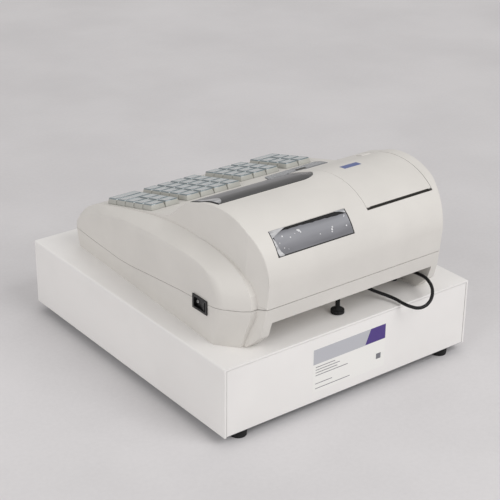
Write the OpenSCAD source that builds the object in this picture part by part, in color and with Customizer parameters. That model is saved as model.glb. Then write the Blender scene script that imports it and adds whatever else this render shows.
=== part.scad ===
// Ticket register: a sheet-steel cash drawer with a printing till standing on it.
// +X is the operator's right, -Y the operator's side, +Z up, and Z = 0 the counter under the feet.
// Every size is in millimetres.

/* [Drawer case] */
// Width of the steel case
case_w = 410; // [380:1:460]
// Depth of the steel case
case_d = 458.6; // [440:1:480]
// Height of the steel case without its feet
case_h = 96.4; // [92:0.1:110]
// Thickness of the sheet steel
sheet = 1.2; // [0.8:0.1:1.6]
// Radius of the case's folded edges
bend_r = 2.6; // [1.8:0.1:4]
// Width of the folded lip round the case's rear opening
rear_lip = 3; // [2:0.1:5]
// Gap between the folded lip and the rear panel
panel_gap = 0.6; // [0.4:0.1:1]
// How far the rear panel sits in from the case's rear edge
panel_set = 0.3; // [0.2:0.1:0.8]
// Width of the flanges that the base is screwed to
base_flange = 14; // [10:1:20]
// Height of a rubber foot
foot_h = 12.5; // [8:0.5:14]
// Diameter of a rubber foot
foot_d = 23; // [16:1:26]
// Distance of a foot's centre from the case's side
foot_inset_x = 32; // [24:1:40]
// Distance of a foot's centre from the case's front and rear
foot_inset_y = 15; // [14:1:30]

/* [Drawer] */
// Width that a ball slide takes up between case and tray
slide_w = 12.7; // [12.7:0.1:14]
// Height of a slide's fixed rail
rail_h = 35; // [30:1:40]
// Length of a slide
rail_l = 400; // [360:5:420]
// Height of the slides' centre line above the case's floor
rail_z = 34; // [30:1:40]
// Height of the tray's walls
tray_h = 62; // [56:1:66]
// Clear height between the case's floor and the tray
tray_lift = 5; // [4:0.5:8]
// Free depth behind the tray for the latch and the kick spring
rear_bay = 42; // [40:1:50]
// Gap round the drawer's front
front_gap = 1.2; // [0.8:0.1:2]
// Depth of the drawer front's folded edges
front_fold = 11; // [8:1:14]
// Radius of the lock barrel
lock_r = 7.5; // [6:0.5:9]
// Radius of the lock's rim
lock_rim_r = 10; // [9.5:0.5:12]
// How far the lock's rim stands out of the front
lock_out = 3; // [2:0.5:4]
// Height of the lock above the drawer front's middle
lock_up = 22; // [15:1:26]

/* [Till insert] */
// Height of the coin and note insert
insert_h = 52; // [44:1:54]
// Clearance between the insert and the tray
insert_gap = 1; // [0.5:0.1:2]
// Number of note bays
note_bays = 5; // [4:1:5]
// Length of a note bay
note_l = 184; // [170:1:190]
// Number of coin cups in a row
coin_cups = 4; // [3:1:4]
// Thickness of the insert's walls
insert_wall = 2.6; // [2:0.1:4]
// Length of a bill clip from its pin to its nose
clip_l = 88; // [70:1:95]
// Width of a bill clip
clip_w = 26; // [16:1:30]
// Radius of a bill clip's pin
clip_pin_r = 1.5; // [1.2:0.1:1.8]

/* [Register] */
// Half width of the register at its front edge
front_half_w = 163; // [161:1:168]
// Half width of the register behind its middle
side_half_w = 181; // [175:1:190]
// Half width between the ridges of the two upper edges
ridge_half_w = 157; // [157:0.5:160]
// Wall thickness of the housings
wall = 2.8; // [2.2:0.1:3.4]
// Thickness of the lower housing's floor
floor_t = 2.6; // [2:0.1:4]
// Half width of the cable bay under the rear
bay_half_w = 133; // [125:1:136]
// Height of the cable bay
bay_h = 40.4; // [36:0.1:42]
// Depth of the cable bay, from the register's rear
bay_d = 84; // [76:1:90]
// Diameter of the levelling foot's disc
level_foot_d = 18; // [16:1:26]
// Distance of the levelling foot from the register's rear
level_foot_in = 39; // [34:1:45]

/* [Hump] */
// Half width of the hump over its middle
hump_half_w = 156; // [154:0.5:156.5]
// Half width of the hump at its rear corners
hump_rear_half_w = 143.5; // [140:0.5:146]
// Distance from the drawer's middle to the hump's rearmost line
hump_rear = 235; // [232:0.5:240]
// Length of the hump's rear quarter round
hump_run = 87; // [80:1:92]
// Height of the hump above the drawer
hump_top = 170; // [166:0.5:176]
// Height of the hump's quarter round
hump_rise = 75; // [68:1:80]
// Fullness of the hump's quarter round, 2 being an ellipse
hump_fullness = 2.1; // [2:0.05:2.4]

/* [Keyboard] */
// Distance between two keys, across
key_pitch = 22.4; // [22.4:0.1:22.8]
// Distance between two keys, along the slope
key_pitch_v = 22.4; // [22.2:0.1:22.6]
// Slope of the keyboard in degrees
key_slope = 14; // [13.5:0.1:14.4]
// Gap between two keys
key_gap = 1.2; // [0.8:0.1:1.8]
// Height of a key above the housing
key_rise = 8.2; // [7:0.1:9]
// Slant of a key's sides, from its skirt to its top
key_taper = 1.5; // [1:0.1:2.5]
// Travel of a key
key_travel = 3; // [2:0.1:3.5]

/* [Printer] */
// Right edge of the printer cover
cover_x1 = -26; // [-32:1:-26]
// Left edge of the printer cover
cover_x0 = -138; // [-144:1:-136]
// Gap along the cover's hinged edge
cover_gap = 2.4; // [2.2:0.1:4]
// Gap along the cover's other edges
cover_seam = 0.5; // [0.4:0.1:1]
// Width of the paper
paper_w = 57.5; // [50:0.5:58]
// Outer radius of the paper roll
roll_r = 29; // [20:1:30]
// Radius of the roll's core
core_r = 6.5; // [6:0.5:9]
// Radius of the platen roller
platen_r = 6; // [5:0.5:7]
// Radius of the platen roller's shaft
shaft_r = 2.5; // [2:0.1:3]

/* [Displays] */
// Right edge of the operator's window
op_window_x1 = 149; // [140:1:149]
// Left end of the operator's window, which is round
op_window_x0 = -19; // [-20:1:-5]
// Width of the customer's window
cu_window_w = 120; // [100:1:125]
// Distance of the customer window's upper edge from the drawer's middle
cu_window_y0 = 206.8; // [204:0.2:210]
// Distance of the customer window's lower edge from the drawer's middle
cu_window_y1 = 228.4; // [226:0.2:229]
// Middle of the customer's window, across
cu_window_x = 65; // [55:1:68]
// Thickness of the windows
glass_t = 2; // [1.6:0.1:2.4]

/* [Power switch] */
// Length of the switch's frame
switch_l = 30.5; // [28:0.5:34]
// Height of the switch's frame
switch_h = 19.5; // [18:0.5:22]
// Tilt of the rocker to either side in degrees
rocker_tilt = 9; // [6:1:12]

/* [Cable] */
// Diameter of the drawer's cable
cable_d = 4.5; // [4:0.1:5]

/* [Hidden] */
$fn = 48;
eps = 0.01;
fit = 0.05;
loose = 0.3;

// Levels and places that follow from the sizes above.
top_z = foot_h + case_h;
case_floor = foot_h + sheet;
front_y = -case_d / 2;
rear_y = case_d / 2;
rim_y = front_y - lock_out;
// The origin lies under the middle of the whole object, so everything moves forward by this much.
mid_y = (hump_rear + rim_y) / 2;

module place() {
    translate([0, -mid_y, 0]) children();
}

// Flat sections, each written as [y, z] and extruded across the register.
module across(x0, x1) {
    translate([x0, 0, 0]) rotate([90, 0, 90]) linear_extrude(x1 - x0) children();
}

module box(x0, x1, y0, y1, z0, z1) {
    translate([x0, y0, z0]) cube([x1 - x0, y1 - y0, z1 - z0]);
}

module both_sides() {
    children();
    mirror([1, 0, 0]) children();
}

module rod_x(x0, x1, y, z, r) {
    translate([x0, y, z]) rotate([0, 90, 0]) cylinder(h = x1 - x0, r = r);
}

// ---------- Drawer case ----------

inner_half_w = case_w / 2 - sheet;

module rounded_section(w, h, r) {
    translate([-w / 2, 0]) square([w, h - r]);
    translate([-w / 2 + r, 0]) square([w - 2 * r, h]);
    for (s = [-1, 1]) translate([s * (w / 2 - r), h - r]) circle(r);
}

module case_section(inset) {
    translate([0, foot_h - inset]) rounded_section(case_w - 2 * inset, case_h, bend_r - inset / 2);
}

module along_y(y0, y1) {
    translate([0, y1, 0]) rotate([90, 0, 0]) linear_extrude(y1 - y0) children();
}

module drawer_case() {
    color("whitesmoke") place() difference() {
        union() {
            difference() {
                along_y(front_y, rear_y) case_section(0);
                along_y(front_y - 1, rear_y + 1) difference() {
                    case_room();
                    for (s = [-1, 1]) translate([s * (inner_half_w - base_flange / 2), case_floor + sheet / 2]) {
                        square([base_flange, sheet], center = true);
                    }
                }
                along_y(rear_y - front_fold - 1, rear_y + 1) case_room();
            }
            rear_lip_ring();
        }
        translate([cable_hole[0], cable_hole[1], top_z - 5]) cylinder(h = 10, r = grommet_r);
    }
}

module case_room() {
    translate([0, foot_h - 1]) rounded_section(case_w - 2 * sheet, case_h - sheet + 1, bend_r - sheet);
}

module rear_lip_ring() {
    along_y(rear_y - sheet, rear_y) difference() {
        case_section(0);
        translate([-case_w / 2 + rear_lip, foot_h - 1]) {
            square([case_w - 2 * rear_lip, case_h - rear_lip + 1]);
        }
    }
}

module drawer_rear_panel() {
    half = case_w / 2 - rear_lip - panel_gap;
    high = top_z - rear_lip - panel_gap;
    low = case_floor;
    color("whitesmoke") place() difference() {
        box(-half, half, rear_y - front_fold, rear_y - panel_set, low, high);
        box(-half + sheet, half - sheet, rear_y - front_fold - 1, rear_y - panel_set - sheet, low - 1, high - sheet);
    }
}

module drawer_base() {
    half = inner_half_w - loose;
    color("silver") place() difference() {
        box(-half, half, front_y + loose, rear_y - sheet - loose, foot_h, case_floor);
        for (x = [-1, 1], y = [-1, 1]) {
            translate([x * foot_x, y * foot_y, foot_h - 1]) cylinder(h = sheet + 2, r = foot_screw_r);
        }
    }
}

foot_x = case_w / 2 - foot_inset_x;
foot_y = case_d / 2 - foot_inset_y;
foot_screw_r = 2.1;

module drawer_feet() {
    color("black") place() for (x = [-1, 1], y = [-1, 1]) translate([x * foot_x, y * foot_y, 0]) {
        difference() {
            union() {
                cylinder(h = foot_h - 2, r1 = foot_d / 2 - 0.8, r2 = foot_d / 2);
                translate([0, 0, foot_h - 2]) cylinder(h = 2, r = foot_d / 2);
            }
            translate([0, 0, -1]) cylinder(h = foot_h - 2, r = 4);
            cylinder(h = foot_h + 1, r = foot_screw_r);
        }
    }
}

// ---------- Slides, tray and front ----------

rail_depth = slide_w - 2.7;
rail_mid = case_floor + rail_z;
tray_half_w = inner_half_w - slide_w;
tray_front = front_y + front_fold + sheet;
tray_rear = rear_y - rear_bay;
rail_y0 = front_y + front_fold + 2;
rail_y1 = rail_y0 + rail_l;
rail_lip = 1.5;
neck_half_h = rail_h / 2 - 10;

module slide_rails() {
    color("lightsteelblue") place() both_sides() along_y(rail_y0, rail_y1) difference() {
        translate([inner_half_w - rail_depth, rail_mid - rail_h / 2]) square([rail_depth, rail_h]);
        translate([inner_half_w - rail_depth + rail_lip, rail_mid - rail_h / 2 + 4]) {
            square([rail_depth - 2 * rail_lip, rail_h - 8]);
        }
        translate([inner_half_w - rail_depth - 1, rail_mid - neck_half_h - 1]) {
            square([rail_lip + 2, 2 * neck_half_h + 2]);
        }
    }
}

module tray_runners() {
    head_x0 = inner_half_w - rail_depth + rail_lip + 0.6;
    head_x1 = inner_half_w - rail_lip - 0.6;
    color("silver") place() both_sides() along_y(rail_y0 + 2, tray_rear) {
        translate([head_x0, rail_mid - rail_h / 2 + 5]) square([head_x1 - head_x0, rail_h - 10]);
        translate([tray_half_w, rail_mid - neck_half_h]) square([head_x0 - tray_half_w + eps, 2 * neck_half_h]);
    }
}

tray_z = case_floor + sheet + tray_lift;
striker_z = tray_z + 38;

module drawer_tray() {
    color("gainsboro") place() {
        difference() {
            box(-tray_half_w, tray_half_w, tray_front, tray_rear, tray_z, tray_z + tray_h);
            box(-tray_half_w + sheet, tray_half_w - sheet, tray_front + sheet, tray_rear - sheet, tray_z + sheet,
                tray_z + tray_h + 1);
            translate([0, tray_front, lock_z]) rotate([90, 0, 0]) cylinder(h = 8, r = lock_r + 2, center = true);
        }
        difference() {
            box(-14, 14, tray_rear - eps, tray_rear + 9, striker_z, striker_z + 12);
            box(-11, 11, tray_rear - 1, tray_rear + 6.5, striker_z - 1, striker_z + 13);
        }
    }
}

front_half_w_drawer = case_w / 2 - sheet - front_gap;
front_z0 = case_floor + sheet + front_gap;
front_z1 = top_z - sheet - front_gap;
lock_z = (front_z0 + front_z1) / 2 + lock_up;

module drawer_front() {
    half = front_half_w_drawer;
    color("whitesmoke") place() difference() {
        union() {
            difference() {
                box(-half, half, front_y, tray_front, front_z0, front_z1);
                box(-half + sheet, half - sheet, front_y + sheet, tray_front + 1, front_z0 + sheet, front_z1 - sheet);
            }
            box(-half + 24, half - 24, tray_front - sheet, tray_front, front_z0, tray_z + 22);
            translate([0, front_y + front_fold - 1, lock_z]) rotate([90, 0, 0]) {
                cylinder(h = front_fold - 1, r = lock_r + 3);
            }
        }
        translate([0, tray_front + 1, lock_z]) rotate([90, 0, 0]) cylinder(h = front_fold + 10, r = lock_r + fit);
    }
}

// The lock turns in the front, its rim just clear of the front's face and its cam behind the front.
module lock_barrel() {
    rim_gap = 0.1;
    tail = front_fold + sheet + 6;
    color("silver") place() translate([0, front_y, lock_z]) rotate([90, 0, 0]) difference() {
        union() {
            translate([0, 0, rim_gap]) cylinder(h = lock_out - rim_gap, r1 = lock_rim_r, r2 = lock_rim_r - 1);
            translate([0, 0, -tail]) cylinder(h = tail + rim_gap + eps, r = lock_r);
            translate([0, -4, -tail]) cube([lock_r + 7, 8, 2.5]);
        }
        translate([-1, -4.5, lock_out - 5]) cube([2, 9, 6]);
    }
}

// ---------- Till insert ----------

insert_half_w = tray_half_w - sheet - insert_gap;
insert_y0 = tray_front + sheet + insert_gap;
insert_y1 = tray_rear - sheet - insert_gap;
insert_z = tray_z + sheet;
insert_top = insert_z + insert_h;
insert_floor = insert_z + 2.5;
note_w = (2 * insert_half_w - (note_bays + 1) * insert_wall) / note_bays;
note_y0 = insert_y1 - insert_wall - note_l;
coin_w = (2 * insert_half_w - (coin_cups + 1) * insert_wall) / coin_cups;
coin_l = (note_y0 - insert_y0 - 3 * insert_wall) / 2;
coin_depth = 38;
coin_floor = insert_top - coin_depth;
clip_y = insert_y1 - insert_wall - 22;
clip_z = insert_top - 5;
clip_seat = insert_wall / 2 - 0.2;
clip_rest = 0.4;

function note_x(n) = -insert_half_w + insert_wall + n * (note_w + insert_wall);
function coin_x(n) = -insert_half_w + insert_wall + n * (coin_w + insert_wall);
function coin_y(r) = insert_y0 + insert_wall + r * (coin_l + insert_wall);

module coin_cup() {
    r = coin_depth;
    difference() {
        translate([0, 0, coin_floor]) cube([coin_w, coin_l, coin_depth + 1]);
        translate([-1, coin_l - r, coin_floor - 1]) difference() {
            cube([coin_w + 2, r + 1, r + 1]);
            translate([-1, 0, r + 1]) rotate([0, 90, 0]) cylinder(h = coin_w + 4, r = r);
        }
    }
}

module till_insert() {
    color("dimgray") place() difference() {
        box(-insert_half_w, insert_half_w, insert_y0, insert_y1, insert_z, insert_top);
        for (n = [0:note_bays - 1]) translate([note_x(n), note_y0, insert_floor]) cube([note_w, note_l, insert_h]);
        for (n = [0:coin_cups - 1], r = [0, 1]) translate([coin_x(n), coin_y(r), 0]) coin_cup();
        rod_x(-insert_half_w + 1, insert_half_w - 1, clip_y, clip_z, clip_pin_r + fit);
        // The moulding is hollow under the coin cups.
        box(-insert_half_w + insert_wall, insert_half_w - insert_wall, insert_y0 + insert_wall,
            note_y0 - insert_wall, insert_z - 1, coin_floor - insert_wall);
    }
}

function clip_x(n) = note_x(n) + (note_w - clip_w) / 2;

// Each clip turns on a pin whose ends sit in the bay's side walls.
module bill_clips() {
    drop = clip_z - insert_floor - clip_rest;
    run = sqrt(clip_l * clip_l - drop * drop);
    color("silver") place() for (n = [0:note_bays - 1]) {
        rod_x(note_x(n) - clip_seat, note_x(n) + note_w + clip_seat, clip_y, clip_z, clip_pin_r);
        for (s = [0, 1]) {
            across(clip_x(n) + s * (clip_w - 3), clip_x(n) + s * (clip_w - 3) + 3) clip_arm(run, drop);
        }
        across(clip_x(n), clip_x(n) + clip_w) clip_nose(run, drop);
    }
}

module clip_arm(run, drop) {
    polygon([[clip_y - 1, clip_z + 2.4], [clip_y + 2.4, clip_z], [clip_y - 1, clip_z - 2.4],
        [clip_y - run, clip_z - drop], [clip_y - run, clip_z - drop + 2.6]]);
}

module clip_nose(run, drop) {
    polygon([[clip_y - run, clip_z - drop], [clip_y - run + 10, clip_z - drop + 10 * drop / run],
        [clip_y - run + 10, clip_z - drop + 10 * drop / run + 2], [clip_y - run, clip_z - drop + 2.6],
        [clip_y - run - 6, clip_z - drop + 6], [clip_y - run - 7, clip_z - drop + 4]]);
}

// ---------- Latch ----------

lever_y = tray_rear + 24;
lever_z = striker_z + 2;
lever_pin_r = 2.5;
// The lever stands let go, this many degrees below the place where its hook holds the tray's loop.
lever_drop = 22;

module solenoid_latch() {
    y0 = lever_y - 8;
    y1 = rear_y - front_fold - 3;
    color("gray") place() {
        for (x = [-9, 5]) box(x, x + 4, y0, y1, case_floor, lever_z + 8);
        box(-9, 9, y0, y1, case_floor, case_floor + 2);
        rod_x(-11, 11, lever_y, lever_z, lever_pin_r);
        box(16, 44, lever_y - 14, lever_y + 4, case_floor, case_floor + 24);
        rod_x(11, 16 + eps, lever_y - 2, case_floor + 12, 4);
    }
}

module latch_lever() {
    color("goldenrod") place() translate([0, lever_y, lever_z]) rotate([lever_drop, 0, 0]) difference() {
        union() {
            rod_x(-4.5, 4.5, 0, 0, 6);
            across(-2, 2) polygon([[2, -5], [2, 5], [-5, 4], [-12, -3.2], [-18.2, -3.2], [-18.2, 3.6],
                [-19.5, 3.6], [-21.8, 0], [-21.8, -8], [-12, -8]]);
        }
        rod_x(-6, 6, 0, 0, lever_pin_r + fit);
    }
}

spring_x = -70;
spring_turns = 7;
spring_r = 8;
spring_wire = 0.9;
spring_y0 = tray_rear + 0.5;
spring_y1 = rear_y - panel_set - sheet;
spring_z = tray_z + 26;

function spring_point(i, n) = [
    spring_x + spring_r * cos(360 * spring_turns * i / n),
    spring_y0 + spring_wire + (spring_y1 - 1.4 - spring_y0 - spring_wire) * i / n,
    spring_z + spring_r * sin(360 * spring_turns * i / n)
];

module kick_spring() {
    steps = 10 * spring_turns;
    color("silver") place() {
        tube([for (i = [0:steps]) spring_point(i, steps)], spring_wire, 6, [0, 0, 1]);
        translate([spring_x, spring_y1 - 12, spring_z]) rotate([-90, 0, 0]) cylinder(h = 12, r = 4);
        translate([spring_x, spring_y1 - 2, spring_z]) rotate([-90, 0, 0]) cylinder(h = 2, r = 13);
    }
}

// A round tube swept along points, as one closed solid.
function unit(v) = v / norm(v);
function heading(p, i) = unit(p[min(i + 1, len(p) - 1)] - p[max(i - 1, 0)]);
function ring(p, i, r, sides, up) =
    let (d = heading(p, i), a = unit(cross(d, up)), b = cross(a, d))
    [for (k = [0:sides - 1]) p[i] + r * (cos(360 * k / sides) * a + sin(360 * k / sides) * b)];

module tube(p, r, sides, up) {
    n = len(p);
    points = [for (i = [0:n - 1], q = ring(p, i, r, sides, up)) q];
    skin = [for (i = [0:n - 2], k = [0:sides - 1]) [
        i * sides + k, i * sides + (k + 1) % sides, (i + 1) * sides + (k + 1) % sides, (i + 1) * sides + k
    ]];
    first = [for (k = [0:sides - 1]) sides - 1 - k];
    last = [for (k = [0:sides - 1]) (n - 1) * sides + k];
    polyhedron(points, concat(skin, [first, last]));
}

// ---------- Register housings ----------

// A point on the cubic curve through a and d with handles b and c.
function bezier(a, b, c, d, t) =
    pow(1 - t, 3) * a + 3 * pow(1 - t, 2) * t * b + 3 * (1 - t) * t * t * c + t * t * t * d;
// The curve's points behind its first one, which the curve or line before it ends with.
function curve(a, b, c, d, n) = [for (i = [1:n]) bezier(a, b, c, d, i / n)];

bend_y = 100;
nose_y = -185;
brow = [-112, 84.1];
temple = [-127, 67];
shoulder = [85, 118.2];
cheek_crown = [110, 104.2];

// The side wall's outline and the ridge's outline, both as [y, z] above the drawer and point for point.
cheek_outline = concat(
    [[nose_y + 9, 0], [nose_y + 4, 18], [nose_y + 3, 30]],
    curve([nose_y + 3, 30], [nose_y + 4, 50], [-145, 58.6], temple, 7),
    curve(temple, [-75, 92], [20, 99], cheek_crown, 8),
    curve(cheek_crown, [150, 104], [183, 92], [183.5, 60], 9),
    [[182, 50], [170, 0]]
);
ridge_outline = concat(
    [[nose_y + 6, 0], [nose_y, 18], [nose_y + 0.5, 32]],
    curve([nose_y + 0.5, 32], [nose_y + 5, 55], [-146, 77], brow, 7),
    curve(brow, [-50, 98.6], [15, 118.6], shoulder, 8),
    curve(shoulder, [150, 118.7], [218, 108], [218, 64], 9),
    [[216, 50], [197, 0]]
);

function side_x(y) = y > bend_y ? side_half_w
    : side_half_w - (side_half_w - front_half_w) * (bend_y - y) / (bend_y - nose_y);
function draft(z) = z < 50 ? 2 * (50 - z) / 50 : 0;

// Points of one half of the shell, pulled towards the shell's middle by t.
core_y = 18;
core_z = 50;
function pull(v, middle, half, t) = middle + (v - middle) * (1 - t / half);
function cheek_point(p, t) =
    [side_x(p[0]) - draft(p[1]) - t, pull(p[0], core_y, 185, t), pull(p[1], core_z, 58, t)];

// The cheek's edge is rounded above its foot: three points stand for each of its corners, one down the side
// wall, one on the slope towards the ridge and one between them.
cheek_round = 7;
mid_round = 0.27;
function cheek_corner(p, r, t) =
    let (c = cheek_point(p, t),
        down = unit([0, max(-120, min(130, p[0])) - p[0], 30 - p[1]]),
        over = unit([ridge_half_w - c[0], r[0] - p[0], r[1] - p[1]]),
        reach = min(cheek_round - t, (c[0] - ridge_half_w) / 3))
    p[1] == 0 ? [c] : [c + reach * down, c + reach * over, c + mid_round * reach * (down + over)];
function shell_points(t) = concat(
    [for (i = [0:len(cheek_outline) - 1])
        for (q = cheek_corner(cheek_outline[i], ridge_outline[i], t)) q],
    [for (p = ridge_outline) [ridge_half_w - t / 2, pull(p[0], core_y, 195, t), pull(p[1], core_z, 65, t)]]
);

module shell_body(t) {
    half = shell_points(t);
    points = [for (p = half, s = [-1, 1]) [s * p[0], p[1], p[2] + top_z]];
    hull() polyhedron(points, [[for (i = [0:len(points) - 1]) i]]);
}

// The hump's outline as [y, z] above the drawer, drawn in by t.
round_y = hump_rear - hump_run;
round_z = hump_top - hump_rise;
function hump_arc(a, t) = [
    round_y + (hump_run - t) * sign(cos(a)) * pow(abs(cos(a)), 2 / hump_fullness),
    round_z + (hump_rise - t) * pow(sin(a), 2 / hump_fullness)
];
crest_drop = 16.7;
crest = [80.5, hump_top - crest_drop];
// The keyboard's deck runs straight from just behind the brow up to the hump's foot.
deck_y = -111.4;
deck_rise = 84.7;
deck_l = 162.6;
function deck_point(v) = [deck_y + v * cos(key_slope), deck_rise + v * sin(key_slope)];
hump_foot = deck_point(deck_l);
corner_in = [0.5, -0.9];
function hump_outline(t) = concat(
    [deck_point(-5) + [t, -3 * t], hump_foot + t * corner_in, crest + t * corner_in],
    [for (a = [120:-8:0]) hump_arc(a, t)],
    [[hump_rear - 3.4 - t, 63], [hump_rear - 7 - t, bay_h], [hump_rear - 13 - t, 20.8], [hump_rear - 34.4 - t, 0]],
    [[deck_point(-5)[0] + t, 0]]
);

// Height of the hump's surface above the drawer, over its quarter round, and its slope there.
function hump_z(y) =
    round_z + hump_rise * pow(1 - pow(abs(y - round_y) / hump_run, hump_fullness), 1 / hump_fullness);
function hump_fall(y) = atan((hump_z(y - 1) - hump_z(y + 1)) / 2);
// A point s up the hump's front slope and h out of it, as [y, z].
slope_angle = atan2(crest[1] - hump_foot[1], crest[0] - hump_foot[0]);
function slope_point(s, h) = hump_foot + s * [cos(slope_angle), sin(slope_angle)]
    + h * [-sin(slope_angle), cos(slope_angle)];

function hump_plan(t) = [
    [0, deck_y - 10], [hump_half_w - t, deck_y - 10], [hump_half_w - t, 120], [hump_half_w - 4 - t, 200],
    [hump_rear_half_w - t, hump_rear - 2], [hump_rear_half_w - t, hump_rear + 5], [0, hump_rear + 5]
];

module hump_body(t) {
    intersection() {
        translate([0, 0, top_z]) across(-hump_half_w - 1, hump_half_w + 1) polygon(hump_outline(t));
        both_sides() translate([0, 0, top_z - 1]) linear_extrude(hump_top + 2) polygon(hump_plan(t));
    }
}

// The parting line between the housings, as [y, z] above the drawer.
seam = [[nose_y - 10, 27], [-140, 25.7], [-60, 25.7], [-30, 28], [35, 37], [100, 46], [160, 52], [182, 55],
    [207, 56.5], [hump_rear + 5, 63.5]];

module below_seam() {
    translate([0, 0, top_z]) across(-200, 200) {
        polygon(concat(seam, [[hump_rear + 5, -5], [nose_y - 10, -5]]));
    }
}

bay_front = hump_rear - bay_d;

// Where screws rise through the lower housing's bosses into posts under the upper housing's roof.
boss_places = [[-140, -150], [140, -150], [-151, 20], [151, 20], [-151, 140], [151, 60]];
boss_r = 4;
post_r = 3.2;
screw_r = 1.7;
pilot_r = 1.3;

module at_bosses(h, r) {
    for (p = boss_places) translate([p[0], p[1], top_z - 1]) cylinder(h = h, r = r);
}

// Both housings together, their walls drawn in by t.
module register_body(t) {
    shell_body(t);
    hump_body(t);
}

module lower_housing() {
    color("gainsboro") place() difference() {
        union() {
            difference() {
                intersection() {
                    union() register_body(0);
                    below_seam();
                    translate([0, 0, top_z]) box(-200, 200, -200, 250, 0, 100);
                }
                difference() {
                    union() register_body(wall);
                    translate([0, 0, top_z]) box(-200, 200, -200, 250, -5, floor_t);
                    box(-bay_half_w - wall, bay_half_w + wall, bay_front - wall, 300, top_z - 5, top_z + bay_h + wall);
                }
            }
            intersection() {
                at_bosses(70, boss_r);
                below_seam();
                translate([0, 0, top_z]) box(-200, 200, -200, 250, 0, 100);
            }
        }
        box(-bay_half_w, bay_half_w, bay_front, 300, top_z - 5, top_z + bay_h);
        switch_hole();
        at_bosses(80, screw_r);
        jack_hole();
        inlet_hole();
        translate([0, level_foot_y, top_z + bay_h - 1]) cylinder(h = wall + 2, r = level_stem_r + fit);
    }
}

// Deck plane on which the keys stand: a frame whose Y runs up the slope.
module on_deck() {
    translate([0, deck_y, top_z + deck_rise]) rotate([key_slope, 0, 0]) children();
}

// Key groups as [right edge, columns, rows].
function_keys = [152, 2, 5];
department_keys = [95.5, 4, 5];
numeric_keys = [-10, 3, 4];
mode_keys = [-90, 2, 4];
key_groups = [function_keys, department_keys, numeric_keys, mode_keys];

module key_openings(margin, low, high) {
    on_deck() for (g = key_groups) {
        box(g[0] - g[1] * key_pitch - margin, g[0] + margin, -margin, g[2] * key_pitch_v + margin, low, high);
    }
}

module upper_housing() {
    color("gainsboro") place() difference() {
        union() {
            difference() {
                union() register_body(0);
                register_body(wall);
            }
            cover_ears();
            // Walls that hang under the deck round each group of keys.
            key_openings(1.6, plate_w, -wall / 2);
            for (which = [0, 1]) window_band(which, 1, window_in + glass_t + ledge_t, ledge_w);
            intersection() {
                at_bosses(hump_top, post_r);
                union() register_body(wall / 2);
            }
        }
        below_seam();
        at_bosses(top_post, pilot_r);
        key_openings(0, plate_w - 1, 20);
        for (which = [0, 1]) window_band(which, -4, window_in + glass_t, 0);
        for (which = [0, 1]) window_band(which, window_in + glass_t - 1, 12, -ledge_w);
        cover_hole();
        rod_x(cover_x0 - ear_w - 0.5, cover_x1 + ear_w + 0.5, hinge_y, top_z + hinge_z, hinge_pin_r + fit);
        paper_slot();
        switch_hole();
    }
}

top_post = 64;
// The plate's face lies so deep under the deck that a pressed key's skirt stays clear of it.
key_skirt = 1;
plate_w = -(key_skirt + key_travel + 1);

module keyboard_plate() {
    x0 = mode_keys[0] - mode_keys[1] * key_pitch - 6;
    x1 = function_keys[0] - 4;
    color("slategray") place() on_deck() difference() {
        union() {
            box(x0, x1, -4, 5 * key_pitch_v + 1, plate_w - 2, plate_w);
            box(x0 + 2, x1 - 2, 0, 5 * key_pitch_v - 2, plate_w - 9, plate_w - 7.4);
            for (x = [x0 + 4, 0, x1 - 4], y = [0, 5 * key_pitch_v - 3]) {
                translate([x, y, plate_w - 8]) cylinder(h = 7, r = 2);
            }
        }
        for (g = key_groups, c = [0:g[1] - 1], r = [0:g[2] - 1]) {
            translate([g[0] - (c + 0.5) * key_pitch, (r + 0.5) * key_pitch_v, plate_w - 1]) {
                cube([7, 7, 4], center = true);
            }
        }
    }
}

// ---------- Keys ----------

// A key, cols by rows large, whose lower right corner lies at the origin of the deck frame.
module key(cols, rows) {
    w = cols * key_pitch - key_gap;
    d = rows * key_pitch_v - key_gap;
    skirt = -key_skirt;
    translate([-key_gap / 2 - w, key_gap / 2, 0]) {
        intersection() {
            translate([0, d, 0]) rotate([90, 0, 0]) linear_extrude(d) polygon([[0, skirt], [w, skirt], [w, 2],
                [w - key_taper, key_rise], [key_taper, key_rise], [0, 2]]);
            across(0, w) polygon([[0, skirt], [d, skirt], [d, 2],
                [d - key_taper, key_rise], [key_taper, key_rise], [0, 2]]);
        }
        for (c = [0.5:cols], r = [0.5:rows]) {
            translate([c * key_pitch - key_gap / 2 - 3, r * key_pitch_v - key_gap / 2 - 3, plate_w - 1.6]) {
                cube([6, 6, skirt - plate_w + 1.6 + eps]);
            }
        }
    }
}

// Puts a key of the group at column c and row r, both counted from the lower right corner.
module key_at(group, c, r, cols, rows) {
    place() on_deck() translate([group[0] - c * key_pitch, r * key_pitch_v, 0]) key(cols, rows);
}

module numeric_key(n) {
    color("lightsteelblue") key_at(numeric_keys, n % 3, floor(n / 3), 1, 1);
}

module total_key(n) {
    color("lightsteelblue") key_at(function_keys, 0, n, 2, 1);
}

module function_row(n) {
    color("lightsteelblue") for (c = [0, 1]) key_at(function_keys, c, n + 2, 1, 1);
}

module department_row(n) {
    color("lightsteelblue") for (c = [0:3]) key_at(department_keys, c, n, 1, 1);
}

module feed_key() {
    color("lightsteelblue") key_at(mode_keys, 0, 0, 2, 1);
}

module mode_row(n) {
    color("lightsteelblue") for (c = [0, 1]) key_at(mode_keys, c, n + 1, 1, 1);
}

// ---------- Windows and displays ----------

// Each window lies on a ledge in the hump's wall, a little below the wall's face.
op_window_y0 = 68;
op_window_y1 = 140;
window_in = 0.3;
window_seam = 0.4;
ledge_w = 3;
ledge_t = 1.6;

// The part of the hump's wall from depth a to depth b over a window, its outline grown by margin.
module window_band(which, a, b, margin) {
    intersection() {
        hump_layer(a, b);
        translate([0, 0, top_z + 60]) linear_extrude(hump_top) {
            if (which == 0) operator_plan(margin);
            if (which == 1) customer_plan(margin);
        }
    }
}

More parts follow.
